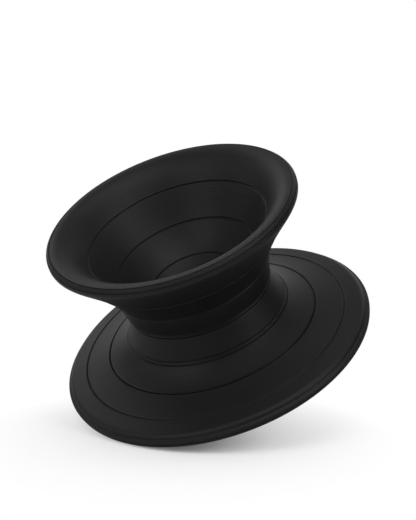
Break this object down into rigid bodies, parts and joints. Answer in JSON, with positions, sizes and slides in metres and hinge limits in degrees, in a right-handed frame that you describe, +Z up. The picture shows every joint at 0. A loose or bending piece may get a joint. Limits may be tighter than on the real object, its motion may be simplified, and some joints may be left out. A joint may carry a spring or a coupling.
{
  "type": "spinning-top chair",
  "caption": "Spool-shaped seat that rocks and rolls on its conical underside: a flared bowl over a narrow waist and a wide round base, lying tilted on its rim.",
  "frame": {"origin": "middle of the flat strip of the conical underside that lies on the floor", "axes": "+Z up from the floor; the chair leans towards -Y, so the seat faces -Y; +X to the right of a viewer who faces the seat from the front"},
  "size_m": [0.907, 0.9339, 0.7873],
  "materials": {
    "shell": "matte black polyethylene with fine turned ridges",
    "tip": "black wearing plastic, slightly smoother than the mouldings",
    "seal": "black rubber",
    "steel": "zinc plated",
    "brass": "plain brass"
  },
  "bodies": {
    "root": {"seat_moulding": "shell", "base_moulding": "shell", "joint_seal": "seal", "clamp_plate": "steel", "joint_bolt_1": "steel", "joint_bolt_2": "steel", "joint_bolt_3": "steel", "joint_bolt_4": "steel", "joint_bolt_5": "steel", "joint_bolt_6": "steel", "threaded_insert_1": "brass", "threaded_insert_2": "brass", "threaded_insert_3": "brass", "threaded_insert_4": "brass", "threaded_insert_5": "brass", "threaded_insert_6": "brass", "floor_tip": "tip", "tip_screw_1": "steel", "tip_screw_2": "steel", "tip_screw_3": "steel"}
  },
  "joints": []
}
